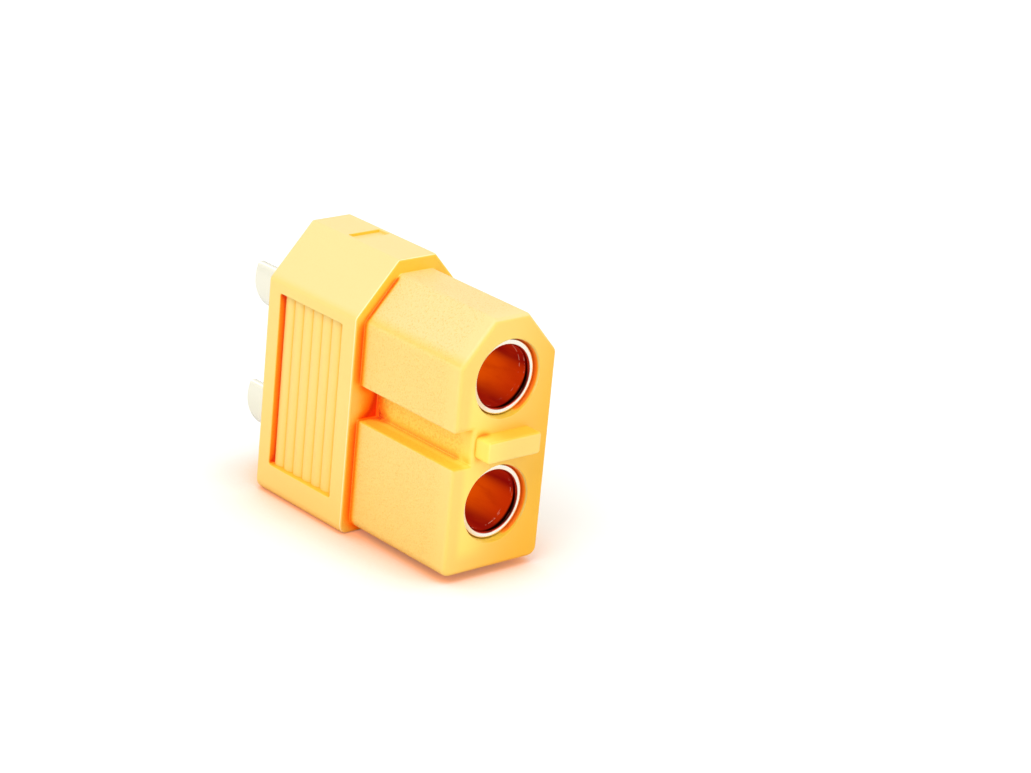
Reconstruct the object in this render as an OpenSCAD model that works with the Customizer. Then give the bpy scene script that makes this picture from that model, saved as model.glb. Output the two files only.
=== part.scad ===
// Socket half of a two-pole high-current battery connector: a moulded nylon housing
// that holds two turned contacts, each a socket sleeve in front and a solder cup behind.
// It stands on its narrow edge. The mating nose points to -Y, the solder cups to +Y and
// the chamfered, negative side to +Z. The origin is under the middle of the whole part.

/* [Body] */
// Length of the grip, from the shoulder to the rear face
grip_length = 7.85; // [7:0.05:10]
// Height of the grip, across both contacts
body_height = 15.7; // [15:0.1:18]
// Thickness of the grip
body_thickness = 8.05; // [7.4:0.05:9.5]
// Width of the flat between the two chamfers
top_flat = 2.6; // [2.4:0.1:4]
// How far the chamfers reach down the sides
chamfer_drop = 3.0; // [2:0.1:3.4]
// Radius of the two lower corners
corner_radius = 0.6; // [0.3:0.1:1]

/* [Nose] */
// Length of the nose in front of the shoulder
nose_length = 8.15; // [7:0.05:10]
// How far the nose's sides and chamfers are set in from the grip's
nose_set_in = 0.65; // [0.4:0.05:0.8]
// How far the nose's top is set in
nose_top_set_in = 0.82; // [0.6:0.02:1]
// How far the nose's bottom is set in
nose_bottom_set_in = 0.42; // [0.3:0.02:0.8]
// How far the contacts, the bar and the groove lie below the middle of the grip
nose_drop = 0.1; // [0:0.05:0.3]
// Width of the keying groove along the nose
groove_width = 2.0; // [1.5:0.1:2.3]
// Depth of the keying groove
groove_depth = 1.3; // [0.8:0.1:1.4]

/* [Key bar] */
// Length of the raised bar on the nose's face, across the thickness
bar_length = 3.7; // [2.5:0.1:4]
// Height of the bar, along the line of the contacts
bar_height = 1.25; // [0.8:0.05:1.6]
// How far the bar stands proud of the nose's face
bar_proud = 1.1; // [0.6:0.1:1.6]

/* [Contacts] */
// Distance between the two contact axes
contact_pitch = 7.2; // [7:0.1:7.6]
// Diameter of the socket bore that takes the mating pin
socket_bore = 3.5; // [3.2:0.1:3.6]
// Depth of the socket bore
socket_depth = 8.5; // [7:0.1:9]
// Wall of the socket sleeve
sleeve_wall = 0.35; // [0.3:0.05:0.4]
// Width of the lead-in at the mouth of the socket
lead_in = 0.25; // [0.1:0.05:0.25]
// How far the sleeve's mouth lies behind the nose's face
mouth_recess = 0.35; // [0:0.05:0.4]
// How far the sleeve's seat lies behind the shoulder
seat_depth = 1.0; // [0.6:0.1:2]
// Outer diameter of the solder cup
cup_outer = 4.6; // [4.5:0.1:4.8]
// Wall of the solder cup
cup_wall = 0.35; // [0.3:0.05:0.6]
// Depth of the solder cup's bore
cup_depth = 5.0; // [3:0.1:6]
// How far the solder cup stands out behind the rear face
cup_stick_out = 3.5; // [3:0.1:8]
// Closed length of the cup, between the rear face and its open side
cup_collar = 0.5; // [0.3:0.1:1]
// Height of the cup's open edge above its axis
cup_edge = 0.9; // [0:0.1:1]
// Height of the retaining barb
barb_height = 0.15; // [0.1:0.05:0.2]
// Length of the retaining barb
barb_length = 0.8; // [0.5:0.1:1.2]
// Distance from the seat to the barb
barb_offset = 1.5; // [1:0.1:2.5]

/* [Fits] */
// Clearance round each contact in the housing
contact_gap = 0.03; // [0.02:0.01:0.1]
// Width of the countersink round each socket in the nose's face
countersink = 0.3; // [0.1:0.05:0.3]

/* [Grip panels] */
// Length of each panel, along the grip
panel_length = 5.6; // [5:0.1:6]
// Distance between the ribs, counted from the panel's rear wall
rib_pitch = 0.84; // [0.7:0.02:1]
// Height of each panel
panel_height = 10.2; // [8:0.1:10.3]
// Distance from the bottom of the grip to a panel
panel_rise = 1.85; // [1.4:0.05:2]
// How far the tops of the ribs lie below the side
rib_sink = 0.3; // [0.1:0.05:0.4]
// Overlap of neighbouring ribs, which makes the valleys between them shallower
rib_overlap = 0.42; // [0.02:0.02:0.6]

/* [Polarity mark] */
// Length of the engraved bar, across the top flat
mark_length = 2.2; // [1.4:0.1:2.3]
// Width of the engraved bar
mark_width = 0.9; // [0.5:0.1:1.2]
// Depth of the engraved bar
mark_depth = 0.2; // [0.1:0.05:0.5]
// Distance from the rear face to the engraved bar
mark_inset = 3.1; // [1.5:0.1:4]

/* [Hidden] */
$fn = 96;
amber = "#f2b62c";
gold = "#e3c064";
// Extra length of a cut past the face that it opens, and of a body sunk in its neighbour
over = 1;
// Slope of the cone that a drill leaves at the bottom of a bore
drill_slope = 31;

sleeve_r = socket_bore / 2 + sleeve_wall;
cup_r = cup_outer / 2;
barb_r = cup_r + barb_height;
nose_face_y = -nose_length;
cup_tip_y = grip_length + cup_stick_out;
middle_y = (cup_tip_y + nose_face_y - bar_proud) / 2;
middle_z = body_height / 2 - nose_drop;
contact_length = cup_tip_y - nose_face_y - mouth_recess;
// Along a contact, counted from its mouth
seat_at = nose_length + seat_depth - mouth_recess;
barb_at = seat_at + barb_offset;
rib_r = (rib_pitch + rib_overlap) / 2;
rib_count = ceil(panel_length / rib_pitch);
panel_front_y = (grip_length - panel_length) / 2;

function chamfer_run() = (body_thickness - top_flat) / 2;
function chamfer_length() = norm([chamfer_run(), chamfer_drop]);
function drill_depth(r) = r * tan(drill_slope);

// Height of the grip's chamfer at x, with its face set in by s
function chamfer_height(x, s) = body_height - ((x - top_flat / 2) * chamfer_drop + s * chamfer_length()) / chamfer_run();
// Where that chamfer meets a top set in by s_top
function chamfer_end(s, s_top) = top_flat / 2 - (s * chamfer_length() - s_top * chamfer_run()) / chamfer_drop;

// Right half of the outline: sides and chamfers set in by s, top by s_top and bottom by s_bottom
function right_side(s, s_top, s_bottom) = [
    [body_thickness / 2 - s - corner_radius, s_bottom],
    [body_thickness / 2 - s, s_bottom + corner_radius],
    [body_thickness / 2 - s, chamfer_height(body_thickness / 2 - s, s)],
    [chamfer_end(s, s_top), body_height - s_top]
];
function mirrored(points) = [for (i = [len(points) - 1 : -1 : 0]) [-points[i][0], points[i][1]]];

// Cross-section of grip or nose: two large chamfers above, two round corners below
module outline(s, s_top, s_bottom) {
    half = right_side(s, s_top, s_bottom);
    polygon(concat(half, mirrored(half)));
    for (side = [-1, 1])
        translate([side * (body_thickness / 2 - s - corner_radius), s_bottom + corner_radius]) circle(corner_radius);
}

// Stands a flat shape up in the plane of the mating face and pulls it from y_front to y_back
module pull(y_front, y_back) {
    translate([0, y_back, 0]) rotate([90, 0, 0]) linear_extrude(height = y_back - y_front) children();
}

// Places its children on each contact axis, with their own +Z turned to +Y
module on_contact(up) {
    translate([0, 0, middle_z + up * contact_pitch / 2]) rotate([-90, 0, 0]) children();
}

// Space for one contact: sleeve bore, wider rear bore, barb groove and front countersink
module contact_space() {
    translate([0, 0, nose_face_y - over])
        cylinder(h = nose_length + seat_depth + over * 2, r = sleeve_r + contact_gap);
    translate([0, 0, seat_depth]) cylinder(h = grip_length, r = cup_r + contact_gap);
    translate([0, 0, seat_depth + barb_offset]) cylinder(h = barb_length, r = barb_r + contact_gap);
    translate([0, 0, nose_face_y])
        cylinder(h = countersink, r1 = sleeve_r + contact_gap + countersink, r2 = sleeve_r + contact_gap);
}

// Recess of one side panel, with a floor of low round ribs
module panel_recess() {
    floor_depth = rib_sink + rib_r;
    translate([0, panel_front_y, panel_rise]) linear_extrude(height = panel_height) difference() {
        translate([-over, 0]) square([floor_depth + over, panel_length]);
        for (i = [0 : rib_count - 1])
            translate([floor_depth, panel_length - (i + 0.5) * rib_pitch]) circle(rib_r);
    }
}

// Keying groove along one side of the nose, midway between the contacts
module keying_groove() {
    translate([nose_set_in - body_thickness / 2 - over, nose_face_y - over, middle_z - groove_width / 2])
        cube([groove_depth + over, nose_length + over, groove_width]);
}

module polarity_mark() {
    translate([-mark_length / 2, grip_length - mark_inset - mark_width, body_height - mark_depth])
        cube([mark_length, mark_width, mark_depth + over]);
}

module key_bar() {
    translate([-bar_length / 2, nose_face_y - bar_proud, middle_z - bar_height / 2])
        cube([bar_length, bar_proud + over, bar_height]);
}

module housing() {
    color(amber) translate([0, -middle_y, 0]) difference() {
        union() {
            pull(0, grip_length) outline(0, 0, 0);
            pull(nose_face_y, over) outline(nose_set_in, nose_top_set_in, nose_bottom_set_in);
            key_bar();
        }
        for (up = [-1, 1]) on_contact(up) contact_space();
        for (side = [0, 1]) mirror([side, 0, 0]) translate([-body_thickness / 2, 0, 0]) panel_recess();
        keying_groove();
        polarity_mark();
    }
}

// One turned contact along +Z, from the mouth of its socket to the tip of its cup
module contact() {
    bore_r = socket_bore / 2;
    cup_bore_r = cup_r - cup_wall;
    cup_floor = contact_length - cup_depth;
    open_at = contact_length - cup_stick_out + cup_collar;
    difference() {
        rotate_extrude() polygon([
            [0, socket_depth + drill_depth(bore_r)],
            [bore_r, socket_depth],
            [bore_r, lead_in],
            [bore_r + lead_in, 0],
            [sleeve_r, 0],
            [sleeve_r, seat_at],
            [cup_r, seat_at],
            [cup_r, barb_at],
            [barb_r, barb_at + barb_length],
            [cup_r, barb_at + barb_length],
            [cup_r, contact_length],
            [cup_bore_r, contact_length],
            [cup_bore_r, cup_floor],
            [0, cup_floor - drill_depth(cup_bore_r)]
        ]);
        translate([-cup_r - over, -cup_r - over, open_at])
            cube([2 * (cup_r + over), cup_r + over - cup_edge, cup_stick_out + over]);
    }
}

// Puts a contact in place, seated on the step inside the housing
module seated_contact(up) {
    color(gold) translate([0, -middle_y, 0]) on_contact(up)
        translate([0, 0, nose_face_y + mouth_recess]) contact();
}

module positive_contact() { seated_contact(-1); }
module negative_contact() { seated_contact(1); }

housing();
positive_contact();
negative_contact();
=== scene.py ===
"""Looks of the socket half of a two-pole battery connector.

An amber nylon housing holds two gold-plated contacts. Lengths are millimetres until a mesh is
finished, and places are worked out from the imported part.
"""

from math import asin, atan2, ceil, cos, pi, radians, sin, sqrt, tan

import bmesh
import bpy
from mathutils import Matrix, Vector


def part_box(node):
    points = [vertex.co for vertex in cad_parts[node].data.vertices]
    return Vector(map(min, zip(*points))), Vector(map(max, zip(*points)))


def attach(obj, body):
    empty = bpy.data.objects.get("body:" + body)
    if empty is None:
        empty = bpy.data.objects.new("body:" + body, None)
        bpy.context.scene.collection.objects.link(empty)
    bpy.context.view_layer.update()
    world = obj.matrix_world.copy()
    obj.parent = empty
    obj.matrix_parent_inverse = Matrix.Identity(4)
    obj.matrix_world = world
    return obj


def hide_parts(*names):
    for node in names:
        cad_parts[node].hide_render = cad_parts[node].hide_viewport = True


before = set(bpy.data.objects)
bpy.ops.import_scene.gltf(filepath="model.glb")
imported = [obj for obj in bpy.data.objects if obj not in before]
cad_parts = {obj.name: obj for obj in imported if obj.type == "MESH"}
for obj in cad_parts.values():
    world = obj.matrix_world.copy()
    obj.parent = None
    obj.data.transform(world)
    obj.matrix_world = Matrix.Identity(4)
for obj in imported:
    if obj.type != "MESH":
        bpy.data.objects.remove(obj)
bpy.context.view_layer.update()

MM = 0.001
UP, DOWN = 1, -1

# ---------------------------------------------------------------- places and sizes


def box_mm(node):
    """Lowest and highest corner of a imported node, in millimetres."""
    low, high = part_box(node)
    return Vector(low) / MM, Vector(high) / MM


housing_low, housing_high = box_mm("housing")
lower_low, lower_high = box_mm("positive_contact")
upper_low, upper_high = box_mm("negative_contact")

# Grip
half_thickness = housing_high.x
height = housing_high.z
rear_y = housing_high.y
shoulder_y = rear_y - 7.85
top_half = 1.3
chamfer_drop = 3.0
# Nose and the bar on its face
nose_y = shoulder_y - 8.15
set_in = 0.65
top_set_in = 0.82
bottom_set_in = 0.42
middle_z = height / 2 - 0.1
groove_half = 1.0
groove_depth = 1.3
groove_x = groove_depth - half_thickness + set_in
bar_y = housing_low.y
bar_half_length = 1.85
bar_half_height = 0.625
# Contacts
axis_z = {DOWN: (lower_low.z + lower_high.z) / 2, UP: (upper_low.z + upper_high.z) / 2}
mouth_y = lower_low.y
tip_y = lower_high.y
sleeve_r = 2.1
bore_r = 1.75
bore_depth = 8.5
seat_y = shoulder_y + 1.0
cup_r = 2.3
cup_bore_r = 1.95
cup_depth = 5.0
cup_open_y = rear_y + 0.5
cup_edge = 0.9
fit_gap = 0.03
# Funnel round each socket in the nose's face
mouth_width = 0.11
mouth_depth = 0.36
# Side panels
rib_pitch = 0.84
panel_length = 5.6
rib_r = 0.61
rib_sink = 0.3
panel_depth = 0.5
panel_low_z = 1.85
panel_high_z = 12.05
panel_front_y = (shoulder_y + rear_y - panel_length) / 2
panel_rear_y = panel_front_y + panel_length
rib_count = ceil(panel_length / rib_pitch)
# Engraved polarity mark
mark_half_length = 1.1
mark_front_y = rear_y - 4.0
mark_rear_y = rear_y - 3.1
mark_depth = 0.18

# Radii of the housing's roundings
grip_corner = {"lower": 0.6, "side": 0.4, "top": 0.18}
nose_corner = {"lower": 0.55, "side": 0.5, "top": 0.3}
least_radius = 0.015
rear_edge_r = 0.25
shoulder_edge_r = 0.14
front_edge_r = 0.26
root_fillet_r = 0.04
groove_edge_r = 0.12
groove_fillet_r = 0.05
bar_corner_r = 0.2
bar_edge_r = 0.16
pocket_corner_r = 0.12
pocket_edge_r = 0.07
mark_corner_r = 0.06
mark_edge_r = 0.04
mouth_edge_r = 0.05
bore_edge_r = 0.12
# Width of the narrow loops beside each rounding, which keep the flats flat
support = 0.03
arc_steps = 5
short_arc_steps = 3
points_per_corner = arc_steps + 3
circle_steps = 72
# Steps of a contact's circle above and below the open edge of its cup
open_steps = 30
closed_steps = 42
# How far the bar is sunk into the nose's face
bar_sunk = 0.5
# Edges that turn by more than this are crisp
crisp_angle = radians(35)
rib_crisp_angle = radians(40)

# ---------------------------------------------------------------- outlines and lofts


def corner_points(before, corner, after, radius, inset):
    """A rounded corner of an outline that runs with its inside on the left, set in by inset."""
    way_in = (corner - before).normalized()
    way_out = (after - corner).normalized()
    out_in = Vector((way_in.y, -way_in.x))
    out_out = Vector((way_out.y, -way_out.x))
    turn = atan2(way_in.cross(way_out), way_in.dot(way_out))
    side = 1 if turn > 0 else -1
    radius = max(radius, inset * side + least_radius)
    reach = radius * tan(abs(turn) / 2)
    centre = corner - way_in * reach - out_in * radius * side
    kept = radius - inset * side
    start = atan2(out_in.y, out_in.x)
    points = [corner - way_in * (reach + support) - out_in * inset]
    for step in range(arc_steps + 1):
        angle = start + turn * step / arc_steps
        points.append(centre + Vector((cos(angle), sin(angle))) * kept * side)
    points.append(corner + way_out * (reach + support) - out_out * inset)
    return points


def rounded(corners, inset=0.0):
    """Points of a closed outline whose corners are (x, z, radius), as many for every inset."""
    points = []
    for i, (x, z, radius) in enumerate(corners):
        before = Vector(corners[i - 1][:2])
        after = Vector(corners[(i + 1) % len(corners)][:2])
        points += corner_points(before, Vector((x, z)), after, radius, inset)
    return points


def circle(radius, z=0.0):
    turns = [2 * pi * i / circle_steps for i in range(circle_steps)]
    return [Vector((radius * cos(t), z + radius * sin(t))) for t in turns]


def side_profile(inset, top_inset):
    """Right side set in from the grip's faces: x and z of its top, x and z of the flat's edge."""
    run = half_thickness - top_half
    slope = sqrt(run * run + chamfer_drop * chamfer_drop)
    side_z = height - chamfer_drop - inset * (slope - chamfer_drop) / run
    top_x = top_half - (inset * slope - top_inset * run) / chamfer_drop
    return half_thickness - inset, side_z, top_x, height - top_inset


def grip_outline():
    x, side_z, top_x, top_z = side_profile(0.0, 0.0)
    low, side, top = grip_corner["lower"], grip_corner["side"], grip_corner["top"]
    return [(x, 0.0, low), (x, side_z, side), (top_x, top_z, top),
            (-top_x, top_z, top), (-x, side_z, side), (-x, 0.0, low)]


def nose_outline():
    """The nose's outline, with the keying groove in its left side."""
    x, side_z, top_x, top_z = side_profile(set_in, top_set_in)
    low, side, top = nose_corner["lower"], nose_corner["side"], nose_corner["top"]
    floor_x = groove_depth - x
    upper_z, lower_z = middle_z + groove_half, middle_z - groove_half
    groove = [(-x, upper_z, groove_edge_r), (floor_x, upper_z, groove_fillet_r),
              (floor_x, lower_z, groove_fillet_r), (-x, lower_z, groove_edge_r)]
    return [(x, bottom_set_in, low), (x, side_z, side), (top_x, top_z, top),
            (-top_x, top_z, top), (-x, side_z, side), *groove, (-x, bottom_set_in, low)]


def rectangle(half_a, half_b, middle_a, middle_b, radius):
    """Corners of a rectangle in a flat drawing with the axes a and b."""
    return [(middle_a + a * half_a, middle_b + b * half_b, radius)
            for a, b in ((1, -1), (1, 1), (-1, 1), (-1, -1))]


def edge_steps(radius, steps=arc_steps):
    """(inset, drop) pairs down a quarter-round edge, from the flat face to the side."""
    turns = [pi / 2 * i / steps for i in range(steps + 1)]
    round_part = [(radius * (1 - sin(t)), radius * (1 - cos(t))) for t in turns]
    return [(radius + support, 0.0), *round_part, (0.0, radius + support)]


class Shell:
    """A closed skin put together from rings of points."""

    def __init__(self):
        self.bm = bmesh.new()

    def ring(self, points, place):
        """A ring of vertices; place turns each flat point into a place in space."""
        return [self.bm.verts.new(place(p)) for p in points]

    def bridge(self, ring_a, ring_b, skip=(), finish=0):
        """Faces between two rings, apart from the spans that start at the skipped points."""
        count = len(ring_a)
        for i in range(count):
            if i in skip:
                continue
            j = (i + 1) % count
            face = self.bm.faces.new((ring_a[i], ring_a[j], ring_b[j], ring_b[i]))
            face.material_index = finish

    def loft(self, rings, finish=0):
        for ring_a, ring_b in zip(rings, rings[1:]):
            self.bridge(ring_a, ring_b, finish=finish)

    def loop_edges(self, loop):
        pairs = zip(loop, loop[1:] + loop[:1])
        return [self.bm.edges.get(pair) or self.bm.edges.new(pair) for pair in pairs]

    def fill(self, *loops, normal, finish=0):
        """A flat face that the first loop bounds, with the other loops as holes."""
        edges = [edge for loop in loops for edge in self.loop_edges(loop)]
        made = bmesh.ops.triangle_fill(self.bm, use_beauty=True, edges=edges, normal=normal)
        for part in made["geom"]:
            if isinstance(part, bmesh.types.BMFace):
                part.material_index = finish

    def piece(self, name, finishes):
        """The skin as an object in metres, with its faces outwards."""
        bmesh.ops.recalc_face_normals(self.bm, faces=self.bm.faces[:])
        bmesh.ops.scale(self.bm, vec=(MM, MM, MM), verts=self.bm.verts[:])
        for face in self.bm.faces:
            face.smooth = True
        mesh = bpy.data.meshes.new(name)
        self.bm.to_mesh(mesh)
        self.bm.free()
        for finish in finishes:
            mesh.materials.append(finish)
        piece = bpy.data.objects.new(name, mesh)
        bpy.context.collection.objects.link(piece)
        return piece


def at_y(y):
    return lambda p: (p.x, y, p.y)


# ---------------------------------------------------------------- housing


def long_spans(corners):
    """First point of each straight span of a rounded outline, one for each corner."""
    return [points_per_corner * (i + 1) - 1 for i in range(len(corners))]


def span_loop(ring_a, ring_b, start):
    after = (start + 1) % len(ring_a)
    return [ring_a[start], ring_a[after], ring_b[after], ring_b[start]]


def pocket(shell, wall, corners, edge_r, depth, place, normal):
    """A pocket with rounded edges in the flat wall whose outer loop is given.

    place(drop) gives what turns a flat point into a place that far under the wall.
    """
    rings = [shell.ring(rounded(corners, -inset), place(drop))
             for inset, drop in edge_steps(edge_r, short_arc_steps)]
    rings.append(shell.ring(rounded(corners), place(depth)))
    shell.loft(rings)
    shell.fill(wall, rings[0], normal=normal)
    shell.fill(rings[-1], normal=normal)


def panel_pocket(shell, side, wall):
    """Pocket of one side panel."""
    half_y = (panel_rear_y - panel_front_y) / 2
    half_z = (panel_high_z - panel_low_z) / 2
    middle = (panel_front_y + half_y, panel_low_z + half_z)
    corners = rectangle(half_y, half_z, *middle, pocket_corner_r)

    def place(drop):
        return lambda p: (side * (half_thickness - drop), p.x, p.y)

    pocket(shell, wall, corners, pocket_edge_r, panel_depth, place, (side, 0, 0))


def polarity_mark(shell, wall):
    """Shallow engraved bar in the top flat."""
    half_y = (mark_rear_y - mark_front_y) / 2
    corners = rectangle(mark_half_length, half_y, 0, mark_front_y + half_y, mark_corner_r)

    def place(drop):
        return lambda p: (p.x, p.y, height - drop)

    pocket(shell, wall, corners, mark_edge_r, mark_depth, place, (0, 0, 1))


def key_bar(finishes):
    """The raised bar on the nose's face, sunk a little way into it."""
    shell = Shell()
    corners = rectangle(bar_half_length, bar_half_height, 0, middle_z, bar_corner_r)
    sunk = shell.ring(rounded(corners), at_y(nose_y + bar_sunk))
    edge = [shell.ring(rounded(corners, inset), at_y(bar_y + drop))
            for inset, drop in reversed(edge_steps(bar_edge_r))]
    shell.loft([sunk, *edge])
    shell.fill(sunk, normal=(0, 1, 0))
    shell.fill(edge[-1], normal=(0, -1, 0))
    return shell.piece("key_bar", finishes)


def contact_bore(shell, up):
    """Stepped bore for one contact; returns its loops on the front and rear faces."""
    z = axis_z[up]
    front_r = sleeve_r + fit_gap
    rear_r = cup_r + fit_gap
    mouth_r = front_r + mouth_width
    edge = mouth_edge_r
    mouth = [(mouth_r + edge + support, nose_y), (mouth_r + edge, nose_y),
             (mouth_r + edge * 0.3, nose_y + edge * 0.3), (mouth_r, nose_y + edge)]
    funnel_end = nose_y + mouth_depth
    funnel = [(front_r + 0.04, funnel_end), (front_r + 0.03, funnel_end + 0.5),
              (front_r, funnel_end + 0.6), (front_r, funnel_end + 0.7)]
    step = [(front_r, seat_y - 0.05), (front_r, seat_y), (rear_r, seat_y), (rear_r, seat_y + 0.05)]
    rear_round = [(rear_r + inset, rear_y - drop)
                  for inset, drop in reversed(edge_steps(bore_edge_r, short_arc_steps))]
    rings = [shell.ring(circle(r, z), at_y(y)) for r, y in mouth + funnel + step + rear_round]
    shell.loft(rings)
    return rings[0], rings[-1]


def moulded_together(main, other):
    """Two overlapping pieces as one closed skin, with crisp edges where they meet."""
    union = main.modifiers.new("union", "BOOLEAN")
    union.operation = "UNION"
    union.solver = "EXACT"
    union.object = other
    evaluated = main.evaluated_get(bpy.context.evaluated_depsgraph_get())
    mesh = bpy.data.meshes.new_from_object(evaluated)
    main.modifiers.clear()
    main.data = mesh
    bpy.data.objects.remove(other)
    skin = bmesh.new()
    skin.from_mesh(mesh)
    for edge in skin.edges:
        edge.smooth = edge.calc_face_angle(0.0) < crisp_angle
    skin.to_mesh(mesh)
    skin.free()
    return main


def make_housing(finishes):
    """The whole moulding apart from its ribs: grip, nose, bores, panel pockets, mark and bar."""
    shell = Shell()
    grip = grip_outline()
    nose = nose_outline()

    rear = [shell.ring(rounded(grip, inset), at_y(rear_y - drop))
            for inset, drop in edge_steps(rear_edge_r)]
    shoulder = [shell.ring(rounded(grip, inset), at_y(shoulder_y + drop))
                for inset, drop in reversed(edge_steps(shoulder_edge_r))]
    shell.loft(rear)
    shell.loft(shoulder)
    right, _, top, _, left, _ = long_spans(grip)
    shell.bridge(rear[-1], shoulder[0], skip=(right, top, left))
    panel_pocket(shell, 1, span_loop(rear[-1], shoulder[0], right))
    panel_pocket(shell, -1, span_loop(rear[-1], shoulder[0], left))
    polarity_mark(shell, span_loop(rear[-1], shoulder[0], top))

    root = [shell.ring(rounded(nose, -inset), at_y(shoulder_y - drop))
            for inset, drop in edge_steps(root_fillet_r, short_arc_steps)]
    front = [shell.ring(rounded(nose, inset), at_y(nose_y + drop))
             for inset, drop in reversed(edge_steps(front_edge_r))]
    shell.loft(root + front)
    shell.fill(shoulder[-1], root[0], normal=(0, -1, 0))

    bores = [contact_bore(shell, up) for up in (DOWN, UP)]
    shell.fill(front[-1], *[bore[0] for bore in bores], normal=(0, -1, 0))
    shell.fill(rear[0], *[bore[1] for bore in bores], normal=(0, 1, 0))
    return moulded_together(shell.piece("housing_shell", finishes), key_bar(finishes))


# ---------------------------------------------------------------- ribs of the side panels


def rib_tree():
    """Geometry nodes for a row along Y of low ribs that stand up along Z, round towards +X."""
    tree = bpy.data.node_groups.new("low_round_ribs", "GeometryNodeTree")
    face = tree.interface
    face.new_socket("Geometry", in_out="OUTPUT", socket_type="NodeSocketGeometry")
    sockets = {"Count": "Int", "Pitch": "Float", "Radius": "Float", "Sweep": "Float",
               "Length": "Float", "Place": "Vector", "Side": "Float", "Material": "Material"}
    for name, kind in sockets.items():
        face.new_socket(name, in_out="INPUT", socket_type="NodeSocket" + kind)
    given = tree.nodes.new("NodeGroupInput").outputs

    def node(kind, settings=None, numbered=None, **named):
        made = tree.nodes.new(kind)
        for key, value in (settings or {}).items():
            setattr(made, key, value)
        inputs = dict(numbered or {})
        inputs.update((name.replace("_", " "), value) for name, value in named.items())
        for key, value in inputs.items():
            target = made.inputs[key]
            if isinstance(value, bpy.types.NodeSocket):
                tree.links.new(value, target)
            else:
                target.default_value = value
        return made.outputs[0]

    start = node("ShaderNodeMath", {"operation": "MULTIPLY"}, {0: given["Sweep"], 1: -0.5})
    arc = node("GeometryNodeCurveArc", Resolution=17, Radius=given["Radius"], Start_Angle=start,
               Sweep_Angle=given["Sweep"])
    profile = node("GeometryNodeSetSplineCyclic", Geometry=arc, Cyclic=True)
    top = node("ShaderNodeCombineXYZ", Z=given["Length"])
    path = node("GeometryNodeCurvePrimitiveLine", Start=(0, 0, 0), End=top)
    rib = node("GeometryNodeCurveToMesh", Curve=path, Profile_Curve=profile, Fill_Caps=True)
    step = node("ShaderNodeCombineXYZ", Y=given["Pitch"])
    row = node("GeometryNodeMeshLine", Count=given["Count"], Offset=step)
    ribs = node("GeometryNodeInstanceOnPoints", Points=row, Instance=rib)
    ribs = node("GeometryNodeRealizeInstances", Geometry=ribs)
    scale = node("ShaderNodeCombineXYZ", X=given["Side"], Y=1.0, Z=1.0)
    ribs = node("GeometryNodeTransform", Geometry=ribs, Translation=given["Place"], Scale=scale)
    ribs = node("GeometryNodeSetMaterial", Geometry=ribs, Material=given["Material"])
    out = tree.nodes.new("NodeGroupOutput")
    tree.links.new(ribs, out.inputs["Geometry"])
    return tree


def grown(name, tree, **values):
    """A plain mesh grown by a geometry tree with these inputs."""
    holder = bpy.data.objects.new(name, bpy.data.meshes.new(name))
    bpy.context.collection.objects.link(holder)
    grower = holder.modifiers.new("grow", "NODES")
    grower.node_group = tree
    for socket in tree.interface.items_tree:
        if socket.in_out == "INPUT":
            grower[socket.identifier] = values[socket.name]
    evaluated = holder.evaluated_get(bpy.context.evaluated_depsgraph_get())
    mesh = bpy.data.meshes.new_from_object(evaluated)
    holder.modifiers.clear()
    holder.data = mesh
    return holder


def make_ribs(finish):
    """The low round ribs of both side panels as one skin."""
    tree = rib_tree()
    sweep = 2 * asin(0.5 * rib_pitch / rib_r + 0.02)
    rows = []
    for side in (-1, 1):
        last_y = panel_rear_y - (rib_count - 0.5) * rib_pitch
        place = Vector((side * (half_thickness - rib_sink - rib_r), last_y, panel_low_z))
        rows.append(grown(f"ribs_{side}", tree, Count=rib_count, Pitch=rib_pitch * MM,
                          Radius=rib_r * MM, Sweep=sweep, Length=(panel_high_z - panel_low_z) * MM,
                          Place=place * MM, Side=float(side), Material=finish))
    joined = bmesh.new()
    for row in rows:
        joined.from_mesh(row.data)
        bpy.data.objects.remove(row)
    bmesh.ops.remove_doubles(joined, verts=joined.verts[:], dist=MM * 0.001)
    bmesh.ops.recalc_face_normals(joined, faces=joined.faces[:])
    for part in joined.faces:
        part.smooth = True
    for edge in joined.edges:
        edge.smooth = edge.calc_face_angle(0.0) < rib_crisp_angle
    mesh = bpy.data.meshes.new("panel_ribs")
    joined.to_mesh(mesh)
    joined.free()
    mesh.materials.append(finish)
    piece = bpy.data.objects.new("panel_ribs", mesh)
    bpy.context.collection.objects.link(piece)
    return piece


# ---------------------------------------------------------------- contacts


# Places of a contact's finishes in its list
GOLD, LIP, BORE = 0, 1, 2

# Rim of a socket, from its bore over the mouth to its outside: radius and distance behind the mouth
rim_profile = [
    (bore_r, 0.24), (bore_r + 0.003, 0.2), (bore_r + 0.02, 0.13), (bore_r + 0.055, 0.075),
    (bore_r + 0.11, 0.03), (bore_r + 0.18, 0.008), (bore_r + 0.25, 0), (sleeve_r - 0.04, 0),
    (sleeve_r - 0.012, 0.012), (sleeve_r, 0.045), (sleeve_r, 0.15)]
# Cones at the bottoms of the two bores: radius and depth of the last ring, and depth of the tip
bore_cone = (0.7, 0.6, 1.0)
cup_cone = (0.8, 0.65, 1.0)
# Rounding of the cup's open edges, which turn by more than the angle
cup_edge_r = 0.06
cup_edge_angle = radians(50)


def split_circle(radius, z):
    """A circle whose points 0 and open_steps lie at the height of the cup's open edge."""
    cut = asin(min(cup_edge / radius, 0.6))
    turns = [cut + (pi - 2 * cut) * i / open_steps for i in range(open_steps)]
    turns += [pi - cut + (pi + 2 * cut) * i / closed_steps for i in range(closed_steps)]
    return [Vector((radius * cos(t), z + radius * sin(t))) for t in turns]


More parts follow.
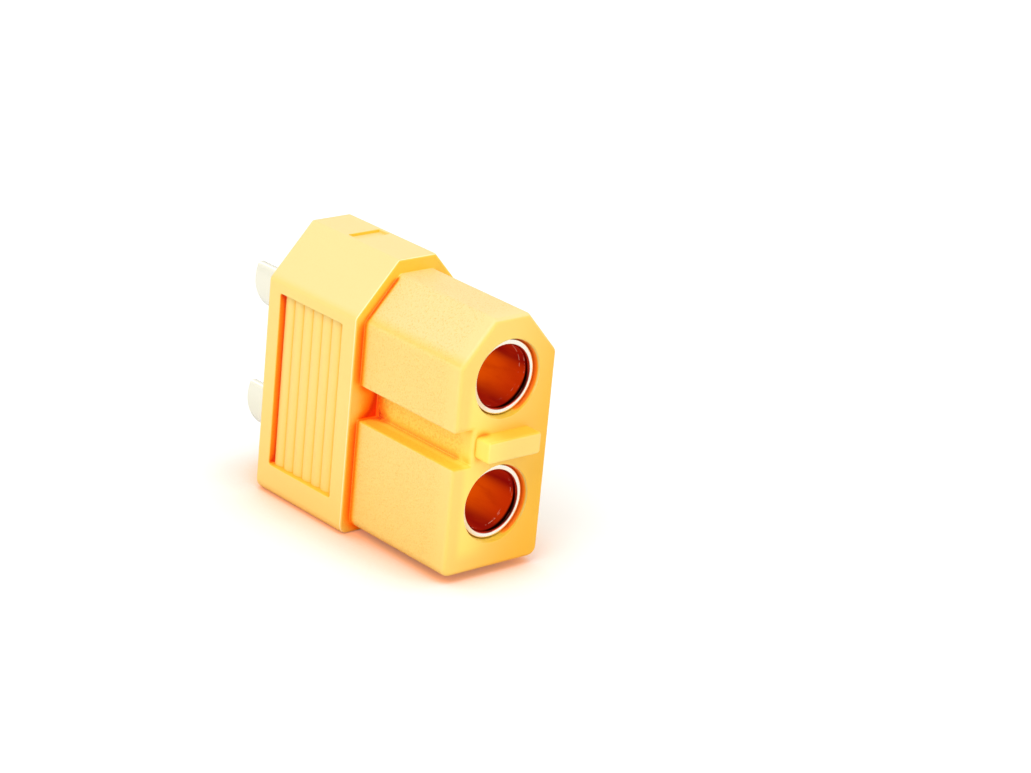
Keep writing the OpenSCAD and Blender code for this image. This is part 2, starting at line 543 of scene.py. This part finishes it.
def make_contact(name, up, finishes):
    """One turned contact: socket sleeve, rear body and half-open solder cup."""
    shell = Shell()
    z = axis_z[up]

    def rings(stations):
        return [shell.ring(split_circle(r, z), at_y(y)) for r, y in stations]

    def close(last_ring, y):
        tip = shell.bm.verts.new((0, y, z))
        after = last_ring[1:] + last_ring[:1]
        return [shell.bm.faces.new((a, b, tip)) for a, b in zip(last_ring, after)]

    bore_end = mouth_y + bore_depth
    cone_r, cone_end, cone_tip = bore_cone
    bore = rings([(cone_r, bore_end + cone_end), (bore_r - 0.03, bore_end + 0.03),
                  (bore_r, bore_end - 0.03), (bore_r, mouth_y + 0.3)])
    shell.loft(bore, BORE)
    rim = rings([(r, mouth_y + deep) for r, deep in rim_profile])
    shell.bridge(bore[-1], rim[0], finish=BORE)
    shell.loft(rim, LIP)
    for face in close(bore[0], bore_end + cone_tip):
        face.material_index = BORE
    outside = [rim[-1], *rings([(sleeve_r, seat_y - 0.4), (sleeve_r, seat_y), (cup_r, seat_y),
                                (cup_r, seat_y + 0.4), (cup_r, cup_open_y)])]
    shell.loft(outside, GOLD)

    cup_end = tip_y - cup_depth
    cone_r, cone_end, cone_tip = cup_cone
    inside = rings([(cone_r, cup_end - cone_end), (cup_bore_r - 0.05, cup_end - 0.03),
                    (cup_bore_r, cup_end + 0.05), (cup_bore_r, cup_open_y)])
    shell.loft(inside, GOLD)
    close(inside[0], cup_end - cone_tip)
    outer_end, inner_end = rings([(cup_r, tip_y), (cup_bore_r, tip_y)])
    upper = range(open_steps)
    lower = range(open_steps, open_steps + closed_steps)
    shell.bridge(outside[-1], outer_end, skip=upper)
    shell.bridge(inside[-1], inner_end, skip=upper)
    shell.bridge(outer_end, inner_end, skip=upper)
    shell.bridge(outside[-1], inside[-1], skip=lower)
    for i in (0, open_steps):
        shell.bm.faces.new((outside[-1][i], outer_end[i], inner_end[i], inside[-1][i]))
    loose = [v for r in (outer_end, inner_end) for v in r if not v.link_faces]
    bmesh.ops.delete(shell.bm, geom=loose, context="VERTS")
    bmesh.ops.recalc_face_normals(shell.bm, faces=shell.bm.faces[:])
    sharp = [edge for edge in shell.bm.edges if edge.calc_face_angle(0.0) > cup_edge_angle
             and all(v.co.y > cup_open_y - 0.01 for v in edge.verts)]
    bmesh.ops.bevel(shell.bm, geom=sharp, offset=cup_edge_r, segments=3, profile=0.5,
                    affect="EDGES", clamp_overlap=True)
    for edge in shell.bm.edges:
        edge.smooth = edge.calc_face_angle(0.0) < crisp_angle
    return shell.piece(name, finishes)


# ---------------------------------------------------------------- finishes


class Sum:
    """A shader socket that takes part in arithmetic."""

    def __init__(self, finish, socket):
        self.finish = finish
        self.socket = socket

    def _maths(self, operation, first, second):
        return self.finish.node("ShaderNodeMath", {"operation": operation}, {0: first, 1: second})

    def __add__(self, other):
        return self._maths("ADD", self, other)

    def __sub__(self, other):
        return self._maths("SUBTRACT", self, other)

    def __mul__(self, other):
        return self._maths("MULTIPLY", self, other)

    def __pow__(self, other):
        return self._maths("POWER", self, other)

    def __rsub__(self, other):
        return self._maths("SUBTRACT", other, self)


class Finish:
    """A procedural material."""

    def __init__(self, name):
        self.material = bpy.data.materials.new(name)
        self.material.use_nodes = True
        self.tree = self.material.node_tree
        self.tree.nodes.clear()

    def node(self, kind, settings=None, inputs=None, output=0):
        """A node with its settings and the values or links of its sockets; returns one output."""
        made = self.tree.nodes.new(kind)
        for key, value in (settings or {}).items():
            setattr(made, key, value)
        for key, value in (inputs or {}).items():
            if isinstance(value, Sum):
                self.tree.links.new(value.socket, made.inputs[key])
            else:
                made.inputs[key].default_value = value
        return Sum(self, made.outputs[output])

    def noise(self, size, detail=2.0, roughness=0.5, stretch=(1, 1, 1)):
        """Noise from 0 to 1 with features of about this size in millimetres."""
        place = self.node("ShaderNodeTexCoord", output="Object")
        scaled = self.node("ShaderNodeMapping", {}, {"Vector": place, "Scale": stretch})
        return self.node("ShaderNodeTexNoise", {}, {
            "Vector": scaled, "Scale": 1 / (size * MM), "Detail": detail, "Roughness": roughness})

    def place(self):
        """The x, y and z of the surface, in metres."""
        return self._parts(self.node("ShaderNodeTexCoord", output="Object"))

    def distance(self, point):
        """Distance of the surface from a point given in millimetres, in metres."""
        place = self.node("ShaderNodeTexCoord", output="Object")
        return self.node("ShaderNodeVectorMath", {"operation": "DISTANCE"},
                         {0: place, 1: Vector(point) * MM}, output="Value")

    def facing(self):
        """The x, y and z of the surface's own direction."""
        return self._parts(self.node("ShaderNodeTexCoord", output="Normal"))

    def _parts(self, vector):
        split = self.node("ShaderNodeSeparateXYZ", {}, {0: vector}).socket.node
        return [Sum(self, socket) for socket in split.outputs]

    def between(self, value, low, high):
        """0 at low, 1 at high, smooth in between and level beyond; low may be the larger one."""
        return self.node("ShaderNodeMapRange", {"interpolation_type": "SMOOTHSTEP"},
                         {"Value": value, "From Min": low, "From Max": high})

    def openness(self, distance, alone=True):
        """1 on an open face, less in corners, felt over this distance in millimetres."""
        settings = {"samples": 8, "only_local": alone}
        return self.node("ShaderNodeAmbientOcclusion", settings, {"Distance": distance * MM},
                         output="AO")

    def mix(self, factor, first, second):
        """The first colour where the factor is 0, the second where it is 1."""
        return self.node("ShaderNodeMix", {"data_type": "RGBA"},
                         {0: factor, 6: first, 7: second}, output=2)

    def bump(self, relief, distance, strength):
        """A direction tilted by the relief, whose full height is this distance in millimetres."""
        return self.node("ShaderNodeBump", {},
                         {"Height": relief, "Distance": distance * MM, "Strength": strength})

    def end(self, shader):
        """The finished material."""
        out = self.tree.nodes.new("ShaderNodeOutputMaterial")
        self.tree.links.new(shader.socket, out.inputs["Surface"])
        return self.material


# Nylon on open faces: lit and shaded copies of one colour, which paint light and shade by which way
# a face looks, and the colours of its grain
SIDE_LIT_BELOW = (0.99, 0.69, 0.18, 1)
SIDE_LIT_ABOVE = (0.99, 0.73, 0.22, 1)
FRONT_LIT_LEFT = (1.0, 0.72, 0.165, 1)
FRONT_SHADED_RIGHT = (1.0, 0.52, 0.025, 1)
BAR_FACE_LIT = (1.0, 0.72, 0.18, 1)
TOP_FLAT_SHEEN = (0.97, 0.74, 0.3, 1)
FACING_UP_SHADE = (0.96, 0.6, 0.045, 1)
SHOULDER_TOP_SHADE = (1.0, 0.63, 0.05, 1)
SHOULDER_EDGE_HIGHLIGHT = (1.0, 0.9, 0.5, 1)
GROOVE_FLOOR_SHADE = (1.0, 0.72, 0.13, 1)
FINE_SPECK = (0.97, 0.5, 0.04, 1)
COARSE_SPECK = (0.97, 0.47, 0.02, 1)
# Painted shade of the nylon in corners, creases and recesses
CORNER_SHADE_RIM = (0.99, 0.54, 0.035, 1)
CORNER_SHADE = (0.99, 0.2, 0.001, 1)
CORNER_SHADE_TOP = (0.72, 0.18, 0.001, 1)
CORNER_SHADE_PIT = (0.6, 0.02, 0.0005, 1)
# Painted glow that corners give off, and one that lifts the groove
NO_LIGHT = (0, 0, 0, 1)
PAINTED_GLOW_CORNER = (0.16, 0.03, 0, 1)
PAINTED_GLOW_DEEP = (0.12, 0.004, 0, 1)
PAINTED_GLOW_PIT = (0.3, 0.015, 0, 1)
PAINTED_GLOW_SHOULDER = (0.55, 0.07, 0, 1)
PAINTED_GLOW_GROOVE = (0.22, 0.14, 0.02, 1)
# Gold plating, and its rim with painted light: a painted highlight, a painted reflection of the
# warm housing, painted shade and dark painted reflections
PLATING = (1.0, 0.965, 0.79, 1)
RIM_PAINTED_HIGHLIGHT = (1.0, 0.96, 0.84, 1)
RIM_LEFT_WARM_REFLECTION = (0.95, 0.72, 0.4, 1)
RIM_MOTTLE = (1.0, 0.84, 0.68, 1)
RIM_OUTER_SHADE = (0.16, 0.03, 0.005, 1)
RIM_INNER_DARK_REFLECTION = (0.34, 0.02, 0.006, 1)
RIM_STREAK_DARK_REFLECTION = (0.02, 0.004, 0.003, 1)
# Inside of a socket: its metal, darkened as painted shade, and the painted glow that it gives off,
# with painted highlights and painted shade near the rim
BORE_METAL_SHADE = (0.08, 0.01, 0.002, 1)
BORE_SHADE = (0.2, 0.002, 0.002, 1)
BORE_MOUTH = (0.52, 0.026, 0.001, 1)
BORE_INNER = (0.7, 0.072, 0.0005, 1)
BORE_SHINE = (0.4, 0.018, 0.0005, 1)
BORE_RING_HIGHLIGHT = (0.9, 0.5, 0.35, 1)
BORE_DARK_SHADE = (0.01, 0, 0, 1)
BORE_RIM_SHADE = (0.03, 0, 0, 1)
# Floor, in the open and with its painted shadow near and under the part, and the painted warm tint
# of its light
PAPER = (0.9, 0.9, 0.9, 1)
PAPER_NEAR_SHADOW = (0.92, 0.74, 0.67, 1)
PAPER_UNDER_SHADOW = (0.9, 0.4, 0.14, 1)
WHITE = (1, 1, 1, 1)
WARM_PAINTED_LIGHT = (1.0, 0.75, 0.5, 1)


def amber_nylon(name, painted_shade_strength=1.0):
    """Satin moulded nylon with painted light: light amber where it lies open, in lit and shaded
    copies by which way a face looks, painted shade in deep orange in corners with a painted glow, a
    painted highlight and sheen, and a grained nose.

    The last argument sets how strong the corners' painted shade is.
    """
    f = Finish(name)
    x, y, z = f.place()
    nx, ny, nz = f.facing()

    # Where things are, from 0 to 1
    forward = f.between(ny * -1, 0.4, 0.9)
    upward = f.between(nz, 0.3, 0.7)
    on_top = f.between(z, (height - 3.6) * MM, (height - 2.6) * MM)
    behind_face = f.between(y, (nose_y + 0.8) * MM, (nose_y + 1.2) * MM)
    on_bar = 1 - f.between(y, (nose_y - 0.6) * MM, (nose_y - 0.2) * MM)
    on_nose = f.between(y, shoulder_y * MM, (shoulder_y - 0.2) * MM)
    # Painted highlight along the shoulder's rounded front edge
    shoulder_edge_highlight = forward * (1 - forward) * 4
    shoulder_edge_highlight = shoulder_edge_highlight * f.between(y, shoulder_y * MM, (shoulder_y + 0.01) * MM)
    shoulder_edge_highlight = shoulder_edge_highlight * f.between(y, (shoulder_y + 0.5) * MM, (shoulder_y + 0.4) * MM)
    in_groove = f.between(x, (groove_x - 0.7) * MM, (groove_x - 0.1) * MM)
    in_groove = in_groove * (1 - f.between(x, groove_x * MM, 0))
    in_groove = in_groove * (1 - f.between(z, (height - 5) * MM, (height - 4) * MM))
    in_groove = in_groove * f.between(z, MM, 2 * MM) * on_nose

    # Open faces: lit and shaded copies with painted light and shade; paler above as painted light
    # from above, warmest at the right and at the bottom of the front as painted shade
    side = f.mix(f.between(z, 0, 9 * MM), SIDE_LIT_BELOW, SIDE_LIT_ABOVE)
    front = f.mix(f.between(x - z * 0.25, -4.5 * MM, 2.5 * MM), FRONT_LIT_LEFT, FRONT_SHADED_RIGHT)
    front = f.mix(on_bar, front, BAR_FACE_LIT)
    open_face = f.mix(forward, side, front)
    # Painted sheen: faces that look up on the top in a paler, whiter colour for the light from
    # above
    open_face = f.mix(upward * on_top, open_face, TOP_FLAT_SHEEN)
    # Painted shade: faces that look up below the top, such as the groove's lower wall and the bar's
    # top, in deeper orange
    open_face = f.mix(upward * (1 - on_top), open_face, FACING_UP_SHADE)
    # Painted shade: the shoulder's face near the top, which the nose keeps from the light, in
    # deeper orange
    open_face = f.mix(forward * on_top * behind_face, open_face, SHOULDER_TOP_SHADE)
    # Painted highlight on the shoulder's edge
    open_face = f.mix(shoulder_edge_highlight, open_face, SHOULDER_EDGE_HIGHLIGHT)
    # Painted shade: the groove's faces in a warmer orange than the sides
    open_face = f.mix(in_groove * (1 - forward), open_face, GROOVE_FLOOR_SHADE)

    # Amount of painted shade, from how deep in a corner a place lies: most where it faces forwards
    # and in the far end of the groove
    near = 1 - f.openness(0.6)
    wide = 1 - f.openness(1.6)
    quiet = 1 - f.between(z, (height - 0.5) * MM, (height - 0.3) * MM) * 0.9
    in_mouth = f.between(y, (nose_y + 0.02) * MM, (nose_y + 0.3) * MM) * (1 - behind_face)
    in_mouth = in_mouth * f.between(x, 0.2 * MM, 0.8 * MM) * f.between(nx * -1, 0.2, 0.6)
    bar_end = f.between(f.distance((-bar_half_length, nose_y, middle_z)), 1.3 * MM, 0.8 * MM)
    groove_end = in_groove * f.between(y, (shoulder_y - 1.5) * MM, (shoulder_y - 0.1) * MM)
    pit = f.between(f.distance((groove_x, shoulder_y - 0.2, middle_z - 0.7)), 1.3 * MM, 0.1 * MM)
    near_share = on_nose * 0.4 + 0.75 - (1 - behind_face) * (1 - bar_end) * 0.9
    plain = near * near_share + wide * (forward * behind_face * 1.2 + 0.15)
    below_top = f.between(z, (height - 0.85) * MM, (height - 1.15) * MM)
    thin_line = near ** 2 * (below_top * 2.7 + 0.7)
    beside_shoulder = f.between(y, (shoulder_y - 0.001) * MM, (shoulder_y - 0.01) * MM)
    beside_shoulder = beside_shoulder * f.between(y, (shoulder_y - 0.3) * MM,
                                                  (shoulder_y - 0.04) * MM)
    depth = (plain * (1 - on_top) + thin_line * on_top) * painted_shade_strength * quiet
    depth = depth + beside_shoulder * below_top * (on_top * 0.25 + 0.3)
    depth = depth + in_mouth * 0.9 + groove_end * 0.25 + pit * 0.4

    # Corners: painted shade in deep orange, with a painted glow of their own that stands for light
    # let through
    colour = f.mix(f.between(depth, 0.03, 0.4), open_face, CORNER_SHADE_RIM)
    colour = f.mix(f.between(depth, 0.3, 0.65), colour, f.mix(on_top, CORNER_SHADE, CORNER_SHADE_TOP))
    colour = f.mix(f.between(depth, 0.75, 1.15), colour, CORNER_SHADE_PIT)
    painted_glow = f.mix(f.between(depth, 0.2, 0.7), NO_LIGHT, PAINTED_GLOW_CORNER)
    painted_glow = f.mix(f.between(depth, 0.7, 1.0), painted_glow, PAINTED_GLOW_DEEP)
    painted_glow = f.mix(f.between(depth, 1.1, 1.5), painted_glow, PAINTED_GLOW_PIT)
    painted_glow = f.mix(f.between(depth, 0.8, 1.1) * beside_shoulder, painted_glow, PAINTED_GLOW_SHOULDER)
    # Painted glow that lifts the groove's faces
    painted_glow = f.mix(in_groove * (1 - groove_end) * 0.8, painted_glow, PAINTED_GLOW_GROOVE)

    # Spark-eroded grain on the nose's sides, coarser in its groove
    off_face = f.between(y, (nose_y + 0.3) * MM, (nose_y + 1.5) * MM)
    grained = on_nose * off_face * (1 - forward)
    fine = f.noise(0.1, 2.0, 0.6)
    coarse = f.noise(0.19, 2.0, 0.6)
    relief = fine * (grained * 1.2 + 0.25) + coarse * grained * in_groove * 2
    specks = f.between(fine, 0.52, 0.7) * (grained * 0.4 + 0.05)
    coarse_specks = f.between(coarse, 0.5, 0.62) * grained * in_groove * 0.5
    colour = f.mix(specks, colour, FINE_SPECK)
    colour = f.mix(coarse_specks, colour, COARSE_SPECK)
    shader = f.node("ShaderNodeBsdfPrincipled", {}, {
        "Base Color": colour, "Roughness": f.noise(0.5, 3.0) * 0.1 + 0.38, "IOR": 1.42,
        "Emission Color": painted_glow, "Emission Strength": 1.0, "Normal": f.bump(relief, 0.04, 0.9)})
    return f.end(shader)


def plated(name, colour, roughness):
    """Bright turned metal with a gold plating."""
    f = Finish(name)
    turned = f.noise(0.05, 2.0, 0.5, (1, 8, 1))
    shader = f.node("ShaderNodeBsdfPrincipled", {}, {
        "Base Color": colour, "Metallic": 1.0, "Roughness": f.noise(0.6, 2.0) * 0.1 + roughness,
        "Normal": f.bump(turned, 0.003, 0.6)})
    return f.end(shader)


def polished_lip_painted_light():
    """Mirror-bright rim with painted light: paler than the plating as a painted highlight, painted
    shade where it turns away to its outside, a dark painted reflection where it turns into the bore
    and in one streak at the lower right, and a warm painted reflection on its left.
    """
    f = Finish("polished_lip_painted_light")
    x = f.place()[0]
    nx, ny, nz = f.facing()
    warm_reflection_left = f.between(x, -0.3 * MM, -1.7 * MM)
    turned_in = f.between(ny * -1 - (nz - nx) * 0.1, 0.9, 0.8)
    turned_away = f.between(ny * -1, 0.75, 0.6)
    lower_right = f.between(nz - nx, 0.6, 1.1)
    mottled = f.between(f.noise(0.15), 0.48, 0.62) * 0.5
    # Painted light on the rim: a warm painted reflection on the left, painted shade where it turns
    # away, dark painted reflections where it turns in
    colour = f.mix(warm_reflection_left, RIM_PAINTED_HIGHLIGHT, RIM_LEFT_WARM_REFLECTION)
    colour = f.mix(mottled, colour, RIM_MOTTLE)
    colour = f.mix(turned_away, colour, RIM_OUTER_SHADE)
    colour = f.mix(turned_in, colour, f.mix(lower_right, RIM_INNER_DARK_REFLECTION, RIM_STREAK_DARK_REFLECTION))
    shader = f.node("ShaderNodeBsdfPrincipled", {}, {
        "Base Color": colour, "Metallic": 1.0, "Roughness": 0.12})
    return f.end(shader)


def bore_gold_painted_glow():
    """The inside of a socket, with a painted red-orange glow that stands for light thrown to and
    fro in it, painted sheen and highlight streaks, and painted shade at its rim.
    """
    f = Finish("bore_gold_painted_glow")
    y = f.place()[1]
    nx, _, nz = f.facing()
    inner = f.between(y, (mouth_y + 0.3) * MM, (mouth_y + 4.0) * MM)
    lit = f.between((nz - 0.4) ** 2, 0.5, 0.02) * f.between(nx * -1, 0, 0.6)
    at_rim = f.between(y, (mouth_y + 0.4) * MM, (mouth_y + 0.24) * MM)
    lower_right = f.between(nz * 0.7 - nx * 0.7, 0.8, 0.98)
    thin_rim = f.between(y, (mouth_y + 0.3) * MM, (mouth_y + 0.25) * MM)
    shine = f.noise(0.5, 3.0, 0.55, (1, 0.25, 1))
    rings = f.noise(0.1, 1.0, 0.5, (0.04, 1, 0.04))
    broken = f.between(f.noise(0.25, 1.0), 0.48, 0.56)
    beside_rim = f.between(y, (mouth_y + 0.9) * MM, (mouth_y + 0.6) * MM) * (1 - at_rim)
    # Painted glow inside the bore: a painted lit band, painted sheen, painted highlight streaks,
    # and painted shade at the rim
    painted_glow = f.mix(lit, BORE_SHADE, f.mix(inner, BORE_MOUTH, BORE_INNER))
    painted_glow = f.mix(f.between(shine, 0.4, 0.8) * 0.5, painted_glow, BORE_SHINE)
    painted_glow = f.mix(f.between(rings, 0.62, 0.7) * beside_rim * broken, painted_glow, BORE_RING_HIGHLIGHT)
    painted_glow = f.mix(at_rim * lower_right, painted_glow, BORE_DARK_SHADE)
    painted_glow = f.mix(thin_rim, painted_glow, BORE_RIM_SHADE)
    shader = f.node("ShaderNodeBsdfPrincipled", {}, {
        "Base Color": BORE_METAL_SHADE, "Metallic": 1.0, "Roughness": shine * 0.1 + 0.3,
        "Emission Color": painted_glow, "Emission Strength": 1.0})
    return f.end(shader)


# ---------------------------------------------------------------- stage, lights and camera

# Floor and lamps, in metres
FLOOR_REACH = 3.0
FLOOR_Z = -0.01 * MM
LAMP_DISTANCE = 0.5
LAMP_WIDTH = 0.3
# Strength of the white room as it lights the part, and as it is seen or mirrored
ROOM_LIGHT = 0.62
ROOM_SEEN = 1.0


def make_floor():
    """White paper with a painted warm shadow round the part, just below its lowest face."""
    f = Finish("floor_paper")
    camera = f.node("ShaderNodeLightPath", output="Is Camera Ray")
    far = f.between(f.distance((0, 0, 0)), 0.03, 0.15)
    shade = f.openness(5.0, alone=False)
    # Painted shadow: the paper warmer and darker where the part closes it in
    colour = f.mix(f.between(shade, 1.0, 0.7), PAPER, PAPER_NEAR_SHADOW)
    colour = f.mix(f.between(shade, 0.75, 0.3), colour, PAPER_UNDER_SHADOW)
    paper = f.node("ShaderNodeBsdfDiffuse", {}, {"Color": colour})
    # Painted warm light in the shadow
    painted_warm_light = f.mix(f.between(shade, 0.7, 0.3), WHITE, WARM_PAINTED_LIGHT)
    lift = f.node("ShaderNodeEmission", {}, {
        "Color": painted_warm_light, "Strength": camera * (far * 0.25 + 0.2)})
    both = f.node("ShaderNodeAddShader", {}, {0: paper, 1: lift})
    mesh = bpy.data.meshes.new("floor")
    corners = [(a * FLOOR_REACH, b * FLOOR_REACH, FLOOR_Z)
               for a, b in ((-1, -1), (1, -1), (1, 1), (-1, 1))]
    mesh.from_pydata(corners, [], [(0, 1, 2, 3)])
    mesh.materials.append(f.end(both))
    floor = bpy.data.objects.new("floor", mesh)
    bpy.context.collection.objects.link(floor)


def make_world():
    """A white room that looks brighter than the light it gives."""
    world = bpy.data.worlds.new("studio")
    world.use_nodes = True
    tree = world.node_tree
    tree.nodes.clear()
    path = tree.nodes.new("ShaderNodeLightPath")
    seen = tree.nodes.new("ShaderNodeMath")
    seen.operation = "MAXIMUM"
    tree.links.new(path.outputs["Is Camera Ray"], seen.inputs[0])
    tree.links.new(path.outputs["Is Glossy Ray"], seen.inputs[1])
    level = tree.nodes.new("ShaderNodeMapRange")
    level.inputs["To Min"].default_value = ROOM_LIGHT
    level.inputs["To Max"].default_value = ROOM_SEEN
    tree.links.new(seen.outputs[0], level.inputs["Value"])
    air = tree.nodes.new("ShaderNodeBackground")
    air.inputs["Color"].default_value = WHITE
    tree.links.new(level.outputs[0], air.inputs["Strength"])
    out = tree.nodes.new("ShaderNodeOutputWorld")
    tree.links.new(air.outputs[0], out.inputs["Surface"])
    bpy.context.scene.world = world


def softbox(name, azimuth, elevation, level):
    """A square lamp that faces the part; level is how bright its own face is."""
    a, e = radians(azimuth), radians(elevation)
    middle = Vector((0, shoulder_y, middle_z)) * MM
    away = Vector((sin(a) * cos(e), -cos(a) * cos(e), sin(e)))
    lamp = bpy.data.lights.new(name, "AREA")
    lamp.shape = "SQUARE"
    lamp.size = LAMP_WIDTH
    lamp.energy = level * pi * LAMP_WIDTH * LAMP_WIDTH
    light = bpy.data.objects.new(name, lamp)
    light.location = middle + away * LAMP_DISTANCE
    light.rotation_euler = away.to_track_quat("Z", "Y").to_euler()
    bpy.context.collection.objects.link(light)


def make_camera():
    """The main view: from the left front, a little above and with a slight roll."""
    azimuth, elevation, roll = radians(-40.755), radians(20.536), radians(4.904)
    distance, aim_right, aim_up = 175.273, 6.014, 0.119
    back = Vector((sin(azimuth) * cos(elevation), -cos(azimuth) * cos(elevation), sin(elevation)))
    across = Vector((cos(azimuth), sin(azimuth), 0))
    rise = back.cross(across)
    right = across * cos(roll) + rise * sin(roll)
    up = rise * cos(roll) - across * sin(roll)
    target = Vector((0, shoulder_y, 8.0))
    place = target + back * distance
    aim = target + right * aim_right + up * aim_up
    back = (place - aim).normalized()
    right = (right - back * right.dot(back)).normalized()
    up = back.cross(right)
    data = bpy.data.cameras.new("camera")
    data.sensor_width = 36.0
    data.lens = 110.64
    data.clip_start = 0.01
    data.clip_end = 20.0
    camera = bpy.data.objects.new("camera", data)
    turn = Matrix((right, up, back)).transposed().to_4x4()
    camera.matrix_world = Matrix.Translation(place * MM) @ turn
    bpy.context.collection.objects.link(camera)
    bpy.context.scene.camera = camera


# ---------------------------------------------------------------- put together

bpy.context.scene.view_settings.view_transform = "Standard"
make_camera()
make_world()
make_floor()
softbox("key_softbox", -75, 50, 4.0)
softbox("front_softbox", 15, 35, 1.5)
softbox("right_softbox", 85, 25, 1.0)
softbox("rear_softbox", 180, 20, 0.8)

nylon = amber_nylon("amber_nylon")
terminal_finishes = [plated("gold_plating", PLATING, 0.18), polished_lip_painted_light(), bore_gold_painted_glow()]

housing = make_housing([nylon])
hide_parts("housing")
ribs = make_ribs(amber_nylon("amber_nylon_ribs", painted_shade_strength=0.6))
positive = make_contact("positive_terminal", DOWN, terminal_finishes)
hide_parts("positive_contact")
negative = make_contact("negative_terminal", UP, terminal_finishes)
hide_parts("negative_contact")
for piece in (housing, ribs, positive, negative):
    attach(piece, "root")
